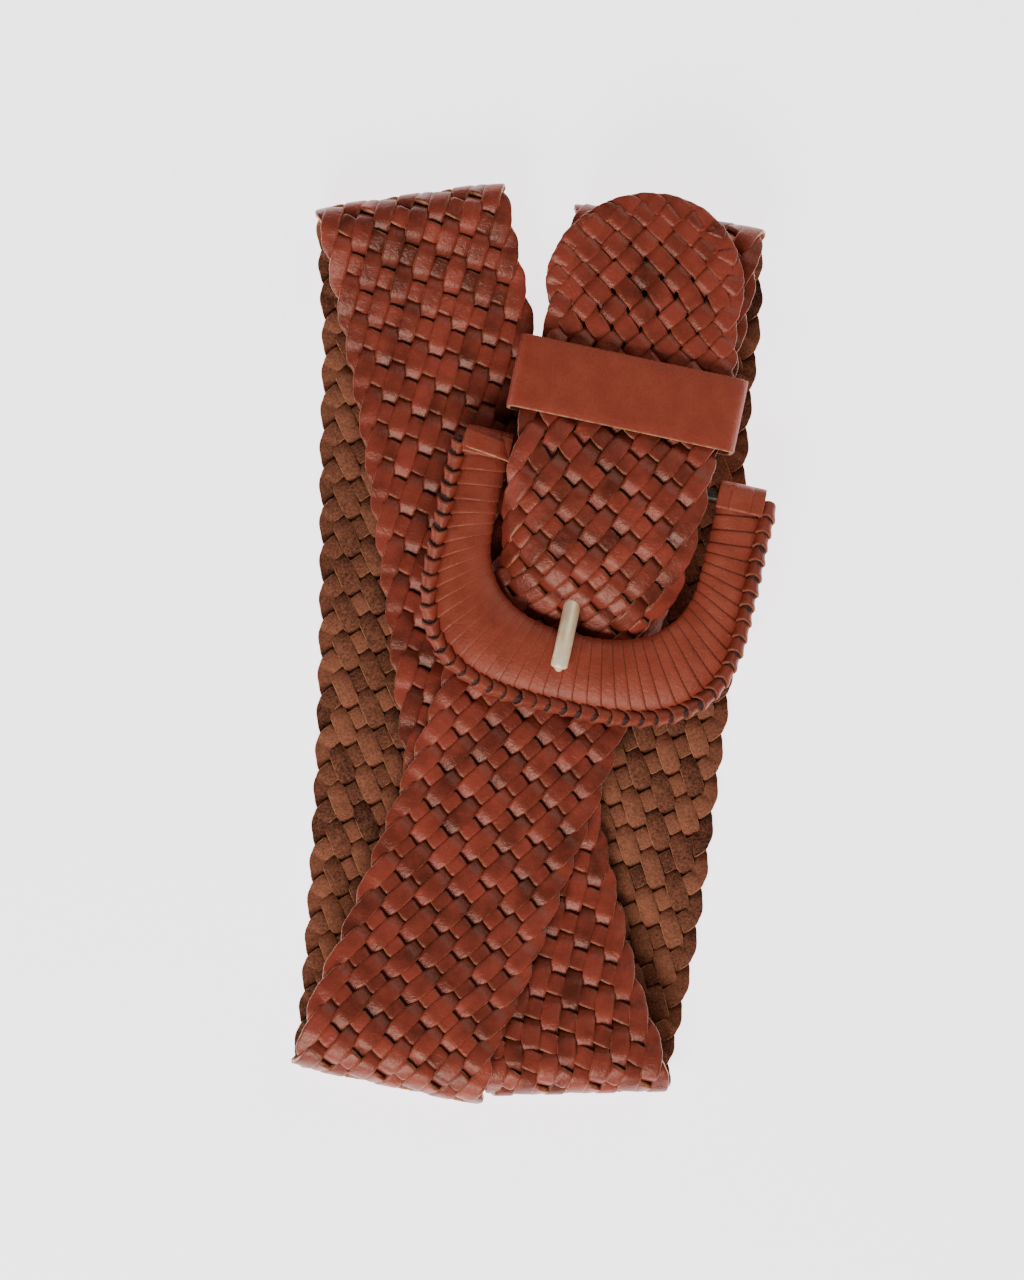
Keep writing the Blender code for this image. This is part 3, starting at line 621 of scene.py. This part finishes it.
def build_edge_braid(knots, leather):
    """The hitched edge: one slanted loop of lace for each turn, packed along the outer edge."""
    random = np.random.default_rng(3)
    outline = (OUTER_OUTLINE[0] + EDGE_REACH, OUTER_OUTLINE[1], OUTER_OUTLINE[2] + EDGE_REACH,
               OUTER_OUTLINE[3])
    angles = np.arange(EDGE_LOOP_POINTS) * 2 * math.pi / EDGE_LOOP_POINTS
    loops = []
    for number in range(knots):
        share = np.array([EDGE_FIRST + (1 - 2 * EDGE_FIRST) * (number + 0.5) / knots])
        core = outline_points(outline, share)[0]
        travel = unit(outline_points(outline, share + 2 * SHARE_NUDGE)
                      - outline_points(outline, share - 2 * SHARE_NUDGE))[0]
        outward = np.array([-travel[1], travel[0]])
        if np.dot(outward, core - np.array([0, OUTER_OUTLINE[1]])) < 0:
            outward = -outward
        along = np.array([*travel, 0.0])
        rise = np.column_stack([outward * np.cos(angles)[:, None], np.sin(angles)])
        radius = EDGE_LOOP_RADIUS * (1 + random.uniform(-EDGE_UNEVEN, EDGE_UNEVEN))
        radii = radius * (1 + EDGE_OVAL * np.cos(angles) ** 2)
        slant = EDGE_SLANT * (1 + random.uniform(-EDGE_SLANT_SPREAD, EDGE_SLANT_SPREAD))
        slide = along * (np.sin(angles) * slant)[:, None]
        height = random.uniform(-EDGE_UNEVEN, EDGE_UNEVEN)
        points = np.array([*core, height]) + rise * radii[:, None] + slide
        tilt = EDGE_SHINGLE + random.uniform(-EDGE_SHINGLE_SPREAD, EDGE_SHINGLE_SPREAD)
        normals = unit(rise + along * tilt)
        tangent = np.roll(points, -1, axis=0) - np.roll(points, 1, axis=0)
        side = unit(np.cross(unit(tangent), normals))
        up = unit(np.cross(side, tangent))
        up *= np.sign(np.sum(up * normals, axis=1, keepdims=True))
        width = EDGE_LOOP_WIDTH * (1 + random.uniform(-EDGE_UNEVEN, EDGE_UNEVEN))
        loops.append(buckle_strip(f"edge_loop_{number}", points, side, up,
                                  np.full(len(points), width), EDGE_LOOP_THICKNESS,
                                  random.uniform(*EDGE_TINTS), leather, closed=True))
    bpy.ops.object.select_all(action="DESELECT")
    for loop in loops:
        loop.select_set(True)
    bpy.context.view_layer.objects.active = loops[0]
    bpy.ops.object.join()
    braid = bpy.context.object
    braid.name = "hitched_edge"
    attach(braid, "buckle")


def over_arm_end(u, width, lift):
    """A lace led from the top face over the blunt end of an arm to the underside."""
    t = np.linspace(0, math.pi, COVER_POINTS)
    v = ARM_BACK + COVER_SET_IN - COVER_BULGE * np.sin(t)
    w = (FRAME_HALF_HEIGHT * COVER_HEIGHT_SHARE + lift) * np.cos(t)
    top = np.column_stack([np.full(COVER_TOP_POINTS, u),
                           np.linspace(ARM_BACK + COVER_REACH, ARM_BACK + COVER_TOP_END,
                                       COVER_TOP_POINTS),
                           np.full(COVER_TOP_POINTS, w[0] + COVER_TOP_RISE)])
    path = np.vstack([top, np.column_stack([np.full(len(t), u), v, w]), top[::-1] * [1, 1, -1]])
    travel = unit(np.gradient(path, axis=0))
    out = path - np.array([u, ARM_BACK + COVER_REACH, 0])
    out[:, 1] *= COVER_FLATTENING
    side = unit(np.cross(travel, unit(out)))
    up = unit(np.cross(side, travel))
    return path, side, up, np.full(len(path), width)


def build_lace_end(leather, pale_edged):
    """Lace ends folded over the arms' blunt ends, the last one cut off and rolled across."""
    arm = (INNER_OUTLINE[0] + OUTER_OUTLINE[0]) / 2
    for sign in (-1, 1):
        for number, (offset, width, lift) in enumerate(COVERS):
            path, side, up, widths = over_arm_end(sign * (arm + offset), width, lift)
            piece = buckle_strip(f"end_cover_{sign}_{number}", path, side, up, widths,
                                 COVER_THICKNESS, 0.2 + 0.25 * number, leather)
            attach(piece, "buckle")

    t = np.linspace(*TAIL_SPAN, TAIL_POINTS)
    angle = math.pi * (TAIL_FIRST_ANGLE - t)
    half = (OUTER_OUTLINE[0] - INNER_OUTLINE[0]) / 2
    u = -arm + (half + TAIL_CLEARANCE) * np.cos(angle)
    v = TAIL_START + TAIL_ADVANCE * t
    w = (FRAME_HALF_HEIGHT + TAIL_RISE) * np.sin(angle)
    path = np.column_stack([u, v, w])
    out = np.column_stack([np.cos(angle), np.full(len(t), -TAIL_TILT), np.sin(angle)])
    travel = unit(np.gradient(path, axis=0))
    side = unit(np.cross(travel, unit(out)))
    up = unit(np.cross(side, travel))
    end = buckle_strip("lace_tail", path, side, up, np.full(len(t), LACE_STRIP_WIDTH),
                       TAIL_THICKNESS, 0.8, pale_edged)
    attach(end, "buckle")
    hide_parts("lace_end")


def build_prong(brass):
    """A blunt round prong with its eye bent round the bar."""
    knots = np.column_stack([np.array(PRONG_COURSE), np.zeros((len(PRONG_COURSE), 4))])
    smooth = catmull_rom(knots)[::3]
    centre = np.column_stack([np.full(len(smooth), PRONG_OFFSET), smooth[:, :2]])
    world = buckle_to_world(centre)
    travel = unit(np.gradient(world, axis=0))
    across = np.tile(buckle_to_world(np.array([[1.0, 0, 0]])) - buckle_to_world(np.zeros((1, 3))),
                     (len(world), 1))
    up = np.cross(across, travel)
    angle = (np.arange(PRONG_CORNERS) * 2 * math.pi / PRONG_CORNERS)[None, :, None]
    rings = (world[:, None, :] + smooth[:, 2, None, None] * (
        across[:, None, :] * np.cos(angle) + up[:, None, :] * np.sin(angle)))
    index = np.arange(len(world) * PRONG_CORNERS).reshape(len(world), PRONG_CORNERS)
    faces = np.stack([index[:-1], np.roll(index[:-1], -1, axis=1), np.roll(index[1:], -1, axis=1),
                      index[1:]], axis=2).reshape(-1, 4).tolist()
    faces += [index[0][::-1].tolist(), index[-1].tolist()]
    mesh = bpy.data.meshes.new("brass_prong")
    mesh.from_pydata((rings.reshape(-1, 3) * MM).tolist(), [], faces)
    mesh.polygons.foreach_set("use_smooth", [True] * len(mesh.polygons))
    prong = bpy.data.objects.new("brass_prong", mesh)
    bpy.context.scene.collection.objects.link(prong)
    mesh.materials.append(brass)
    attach(prong, "prong")
    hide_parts("buckle_prong")


# ---- the keeper -------------------------------------------------------------------------

def build_keeper(leather):
    """A plain band in a closed loop, a strip swept round the strap."""
    half = KEEPER_HALF_LENGTH
    corners = []
    for side, is_top, start in ((1, 0, -90), (1, 1, 0), (-1, 1, 90), (-1, 0, 180)):
        for step in range(KEEPER_CORNER_STEPS + 1):
            angle = math.radians(start + 90 * step / KEEPER_CORNER_STEPS)
            corners.append(keeper_corner(half, side, is_top, angle))
    profile = []
    for here, there in zip(corners, corners[1:] + corners[:1]):
        count = max(1, round(np.linalg.norm((there - here)[:2]) / KEEPER_POINT_STEP))
        for step in range(count):
            profile.append(here + (there - here) * step / count)
    profile = np.array(profile)
    turn = math.radians(KEEPER_TURN)
    along = np.array([-math.sin(turn), math.cos(turn), 0])
    across = np.array([math.cos(turn), math.sin(turn), 0])
    upward = np.array([0, 0, 1])
    pitch = (KEEPER_TOP_FAR - KEEPER_TOP_NEAR) / KEEPER_WIDTH
    swell = np.where(profile[:, 2] > 0.5, KEEPER_SWELL * (1 - (profile[:, 0] / half) ** 2), 0)
    centre = np.array([KEEPER_CENTRE[0] + SHIFT_X, KEEPER_CENTRE[1], 0])
    points = centre + profile[:, :1] * across + (profile[:, 1] + swell)[:, None] * upward
    travel = unit(np.roll(points, -1, axis=0) - np.roll(points, 1, axis=0))
    side = unit(along + upward * (pitch * profile[:, 2])[:, None])
    up = unit(np.cross(travel, side))
    middle = points.mean(axis=0)
    if np.median(np.sum(up * (points - middle), axis=1)) < 0:
        up = -up
    if np.median(np.sum(np.cross(side, travel) * up, axis=1)) < 0:
        side = -side
    band = sweep_mesh("keeper", points, side, up, np.full(len(points), KEEPER_WIDTH),
                      KEEPER_THICKNESS, 0.5, closed=True)
    band.data.materials.append(leather)
    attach(band, "keeper")
    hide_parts("keeper_band")


def keeper_corner(half, side, is_top, angle):
    """A point on the keeper's loop: across, height and how far up the loop it is."""
    top = (KEEPER_TOP_NEAR + KEEPER_TOP_FAR) / 2
    level = top - KEEPER_CORNER if is_top else KEEPER_BOTTOM + KEEPER_CORNER
    across = side * (half - KEEPER_CORNER) + KEEPER_CORNER * math.cos(angle)
    height = level + KEEPER_CORNER * math.sin(angle)
    return np.array([across, height, (height - KEEPER_BOTTOM) / (top - KEEPER_BOTTOM)])


# ---- materials --------------------------------------------------------------------------

# places of the Mix node's sockets, whose names repeat for each kind of data
MIX_FLOAT_LOW = 2
MIX_FLOAT_HIGH = 3
MIX_COLOUR_LOW = 6
MIX_COLOUR_HIGH = 7
MIX_COLOUR_RESULT = 2


def colour(text):
    """A linear colour from an sRGB hex value."""
    parts = [int(text[i:i + 2], 16) / 255 for i in (0, 2, 4)]
    linear = [v / 12.92 if v <= 0.04045 else ((v + 0.055) / 1.055) ** 2.4 for v in parts]
    return (*linear, 1)


def add_node(tree, kind, links=(), **settings):
    """A node with its settings, and links given as (input, node, output)."""
    made = tree.nodes.new(kind)
    for key, value in settings.items():
        if hasattr(made, key):
            setattr(made, key, value)
        else:
            made.inputs[key.replace("_", " ")].default_value = value
    for socket, source, output in links:
        tree.links.new(source.outputs[output], made.inputs[socket])
    return made


def new_material(name):
    """A material, its node tree, its shader and its object coordinates."""
    made = bpy.data.materials.new(name)
    made.use_nodes = True
    tree = made.node_tree
    return made, tree, tree.nodes["Principled BSDF"], add_node(tree, "ShaderNodeTexCoord")


def noise(tree, place, **settings):
    """Noise over the object; Scale is in bumps to the metre."""
    return add_node(tree, "ShaderNodeTexNoise", [("Vector", place, "Object")], **settings)


def attribute(tree, name):
    """A value stored on the strip's points."""
    return add_node(tree, "ShaderNodeAttribute", attribute_name=name)


def ramp(tree, source, output, stops):
    """Colours along a value, given as (place, hex colour)."""
    made = add_node(tree, "ShaderNodeValToRGB", [("Fac", source, output)])
    elements = made.color_ramp.elements
    while len(elements) < len(stops):
        elements.new(0.5)
    for element, (place, shade) in zip(elements, stops):
        element.position = place
        element.color = colour(shade)
    return made


def scale_and_add(tree, source, output, factor):
    """source times factor, plus whatever is set or linked at the third input."""
    made = add_node(tree, "ShaderNodeMath", [(0, source, output)], operation="MULTIPLY_ADD")
    made.inputs[1].default_value = factor
    return made


def mix_colours(tree, low, high, factor=None, blend="MIX"):
    """Two colours, each given as (node, output), mixed by a linked or a fixed factor."""
    links = [(MIX_COLOUR_LOW, *low), (MIX_COLOUR_HIGH, *high)]
    if isinstance(factor, tuple):
        links.append(("Factor", *factor))
    made = add_node(tree, "ShaderNodeMix", links, data_type="RGBA", blend_type=blend)
    if isinstance(factor, float):
        made.inputs["Factor"].default_value = factor
    return made


def bump(tree, height, output, strength, distance, links=()):
    """Relief of a height, in metres."""
    return add_node(tree, "ShaderNodeBump", [("Height", height, output), *links],
                    Strength=strength, Distance=distance)


def leather_material(name, dyes, fleshes, cut, roughness):
    """Vegetable-tanned leather: waxy grain side, napped flesh side, pale raw cut edges, and painted
    shade where one thong dives under the next.
    """
    made, tree, shader, place = new_material(name)
    tint = attribute(tree, "tint")
    grain = attribute(tree, "grain")
    edge = attribute(tree, "cut")
    # heights of the strips, for the painted shade in the crevices
    shade_height = attribute(tree, "shade_height")

    # dye takes unevenly in patches about 8 mm across, and a little differently on each thong
    patches = noise(tree, place, Scale=120.0, Detail=3.0, Roughness=0.55)
    shifted = scale_and_add(tree, tint, "Fac", 0.32)
    tree.links.new(patches.outputs["Fac"], shifted.inputs[2])
    dye = ramp(tree, shifted, "Value", list(zip((0.38, 0.62, 0.88), dyes)))
    # pores about 0.5 mm apart, drawn a little coarse so that they show
    pores = noise(tree, place, Scale=1900.0, Detail=2.0, Roughness=0.6)
    pore_shade = ramp(tree, pores, "Fac", [(0.3, "dddddd"), (0.62, "ffffff")])
    face = mix_colours(tree, (dye, "Color"), (pore_shade, "Color"), 0.55, "MULTIPLY")

    # the nap of the flesh side: fibres about 0.6 mm long lying both ways, a tone to each thong
    nap = noise(tree, place, Scale=1500.0, Detail=4.0, Roughness=0.7)
    brushed = noise(tree, place, Scale=70.0, Detail=2.0, Roughness=0.5)
    tone = add_node(tree, "ShaderNodeMath", [(0, tint, "Fac"), (1, brushed, "Fac")],
                    operation="ADD")
    toned = scale_and_add(tree, tone, "Value", 0.26)
    tree.links.new(nap.outputs["Fac"], toned.inputs[2])
    flesh = ramp(tree, toned, "Value", list(zip((0.52, 0.98), fleshes)))

    sides = add_node(tree, "ShaderNodeMapRange", [("Value", grain, "Fac")],
                     From_Min=0.45, From_Max=0.55)
    skin = mix_colours(tree, (flesh, "Color"), (face, MIX_COLOUR_RESULT), (sides, "Result"))

    # painted shade: darker where one thong dives under the next, standing for the shadow in the crevice
    level = scale_and_add(tree, shade_height, "Fac", 0.5)
    level.inputs[2].default_value = 0.5
    painted_crevice_shade = ramp(tree, level, "Value", [(0.3, "9c8c84"), (0.5, "ffffff")])
    shaded = mix_colours(tree, (skin, MIX_COLOUR_RESULT), (painted_crevice_shade, "Color"), 1.0, "MULTIPLY")

    # the raw edge shows pale where the dye did not reach, broken up along its length
    broken = noise(tree, place, Scale=420.0, Detail=3.0, Roughness=0.7)
    broken_edge = add_node(tree, "ShaderNodeMath", [(0, broken, "Fac"), (1, edge, "Fac")],
                           operation="MULTIPLY")
    raw = add_node(tree, "ShaderNodeMapRange", [("Value", broken_edge, "Value")],
                   From_Min=0.30, From_Max=0.52)
    final = add_node(tree, "ShaderNodeMix", [("Factor", raw, "Result"),
                                             (MIX_COLOUR_LOW, shaded, MIX_COLOUR_RESULT)],
                     data_type="RGBA")
    final.inputs[MIX_COLOUR_HIGH].default_value = colour(cut)
    tree.links.new(final.outputs[MIX_COLOUR_RESULT], shader.inputs["Base Color"])

    # polished on the grain side, duller where worn, matt on the flesh side
    rough = add_node(tree, "ShaderNodeMapRange", [("Value", sides, "Result")],
                     To_Min=0.95, To_Max=roughness)
    worn = scale_and_add(tree, patches, "Fac", 0.22)
    tree.links.new(rough.outputs["Result"], worn.inputs[2])
    tree.links.new(worn.outputs["Value"], shader.inputs["Roughness"])

    # creases about 2 mm apart on the grain side, and the nap standing up on the flesh side
    crease = noise(tree, place, Scale=520.0, Detail=3.0, Roughness=0.6, Distortion=1.2)
    relief = add_node(tree, "ShaderNodeMix", [("Factor", sides, "Result"),
                                              (MIX_FLOAT_LOW, nap, "Fac"),
                                              (MIX_FLOAT_HIGH, crease, "Fac")],
                      data_type="FLOAT")
    coarse = bump(tree, relief, "Result", 0.5, 0.0004)
    fine = bump(tree, pores, "Fac", 0.35, 0.00012, [("Normal", coarse, "Normal")])
    tree.links.new(fine.outputs["Normal"], shader.inputs["Normal"])
    shader.inputs["IOR"].default_value = 1.45
    shader.inputs["Specular Tint"].default_value = colour("ffd9c4")
    return made


def core_material():
    """Matt leather of the knots' undersides, seen only in the notches between the loops; its dark
    colour is partly the leather and partly painted shade of the notches.
    """
    made, tree, shader, place = new_material("notch_shaded_knot_leather")
    patches = noise(tree, place, Scale=500.0, Detail=3.0)
    shade = ramp(tree, patches, "Fac", [(0.35, "2c120c"), (0.7, "4a2015")])
    tree.links.new(shade.outputs["Color"], shader.inputs["Base Color"])
    relief = bump(tree, patches, "Fac", 0.4, 0.0003)
    tree.links.new(relief.outputs["Normal"], shader.inputs["Normal"])
    shader.inputs["Roughness"].default_value = 0.8
    return made


def brass_material():
    """Cast brass, tumbled to a pale satin: soft highlights with faint lengthwise scratches."""
    made, tree, shader, place = new_material("satin_brass")
    stretch = add_node(tree, "ShaderNodeMapping", [("Vector", place, "Object")],
                       Scale=(1.0, 0.12, 1.0))
    scratches = add_node(tree, "ShaderNodeTexNoise", [("Vector", stretch, "Vector")],
                         Scale=2400.0, Detail=3.0, Roughness=0.6)
    cloud = noise(tree, place, Scale=260.0, Detail=3.0)
    shade = ramp(tree, cloud, "Fac", [(0.35, "ffdcab"), (0.7, "fff2d0")])
    tree.links.new(shade.outputs["Color"], shader.inputs["Base Color"])
    rough = add_node(tree, "ShaderNodeMapRange", [("Value", scratches, "Fac")],
                     To_Min=0.36, To_Max=0.56)
    tree.links.new(rough.outputs["Result"], shader.inputs["Roughness"])
    # part of the metal's mirror is lost to the tumbled skin
    shader.inputs["Metallic"].default_value = 0.35
    relief = bump(tree, scratches, "Fac", 0.2, 0.00008)
    tree.links.new(relief.outputs["Normal"], shader.inputs["Normal"])
    return made


def frame_material():
    """The plain cast frame under the lacing, dull grey with a cast skin."""
    made, tree, shader, place = new_material("cast_frame_metal")
    skin = noise(tree, place, Scale=700.0, Detail=4.0)
    shade = ramp(tree, skin, "Fac", [(0.3, "3a332b"), (0.7, "4c443a")])
    tree.links.new(shade.outputs["Color"], shader.inputs["Base Color"])
    shader.inputs["Metallic"].default_value = 1.0
    shader.inputs["Roughness"].default_value = 0.5
    return made


def card_material():
    """Matt white card with faint fibres, bright enough to read as a lit table top."""
    made, tree, shader, place = new_material("matt_card")
    fibres = noise(tree, place, Scale=600.0, Detail=4.0)
    shade = ramp(tree, fibres, "Fac", [(0.3, "dcd8da"), (0.7, "e6e2e3")])
    tree.links.new(shade.outputs["Color"], shader.inputs["Base Color"])
    shader.inputs["Roughness"].default_value = 0.85
    shader.inputs["Emission Color"].default_value = colour("f6f0f2")
    shader.inputs["Emission Strength"].default_value = CARD_GLOW
    return made


# ---- stage: sizes in metres, powers in watts ---------------------------------------------

TABLE_SIZE = 30
TABLE_DROP = 0.0002           # the table top lies this far under the belt
CARD_GLOW = 2.9
WINDOW_LIGHT = ("window_light", (-0.35, -0.85, 0.75), (0.8, 0.5), 17.0)
BACK_LIGHT = ("back_light", (0.55, 0.75, 0.75), (0.9, 0.9), 5.0)
ROOM_LIGHT = 0.16
CAMERA_PLACE = (-0.0064, 0.0007, 1.02)
CAMERA_LENS = 100
CAMERA_SENSOR = 36


def area_light(name, place, size, power):
    """A soft rectangular light aimed at the middle of the belt."""
    data = bpy.data.lights.new(name, "AREA")
    data.shape = "RECTANGLE"
    data.size, data.size_y = size
    data.energy = power
    lamp = bpy.data.objects.new(name, data)
    bpy.context.scene.collection.objects.link(lamp)
    lamp.location = place
    lamp.rotation_euler = (-Vector(place)).to_track_quat("-Z", "Y").to_euler()


def build_stage():
    """A pale table top, soft light from the foot of the belt, and a camera overhead."""
    bpy.ops.mesh.primitive_plane_add(size=TABLE_SIZE, location=(0, 0, -TABLE_DROP))
    table = bpy.context.object
    table.name = "table_top"
    table.data.materials.append(card_material())

    area_light(*WINDOW_LIGHT)
    area_light(*BACK_LIGHT)
    world = bpy.data.worlds.new("room")
    bpy.context.scene.world = world
    world.use_nodes = True
    background = world.node_tree.nodes["Background"]
    background.inputs["Color"].default_value = colour("f2ece8")
    background.inputs["Strength"].default_value = ROOM_LIGHT

    data = bpy.data.cameras.new("camera")
    data.lens = CAMERA_LENS
    data.sensor_fit = "VERTICAL"
    data.sensor_height = CAMERA_SENSOR
    camera = bpy.data.objects.new("camera", data)
    camera.location = CAMERA_PLACE
    bpy.context.scene.collection.objects.link(camera)
    bpy.context.scene.camera = camera


def main():
    """The whole belt, then its stage."""
    strap_leather = leather_material("cognac_braid_leather", ("582217", "7b3224", "933d2e"),
                                     ("371a10", "985c43"), "b28059", 0.25)
    lace_leather = leather_material("cognac_lace_leather", ("823626", "923f2d", "9c4936"),
                                    ("4a2417", "955a42"), "7d4630", 0.34)
    keeper_leather = leather_material("smooth_keeper_leather", ("8c3626", "943c2a", "9c442f"),
                                      ("4a2417", "955a42"), "c08e66", 0.42)
    build_thongs(Strap(), strap_leather)
    build_lacing(LACE_TURNS, lace_leather)
    build_edge_braid(LACE_TURNS, lace_leather)
    build_lace_end(lace_leather, keeper_leather)
    build_prong(brass_material())
    build_keeper(keeper_leather)
    bpy.data.objects["buckle_frame"].data.materials[0] = frame_material()
    # the knots' core gets leather painted dark, standing for the shade in the notches between the loops
    bpy.data.objects["buckle_edge_braid"].data.materials[0] = core_material()
    build_stage()


main()
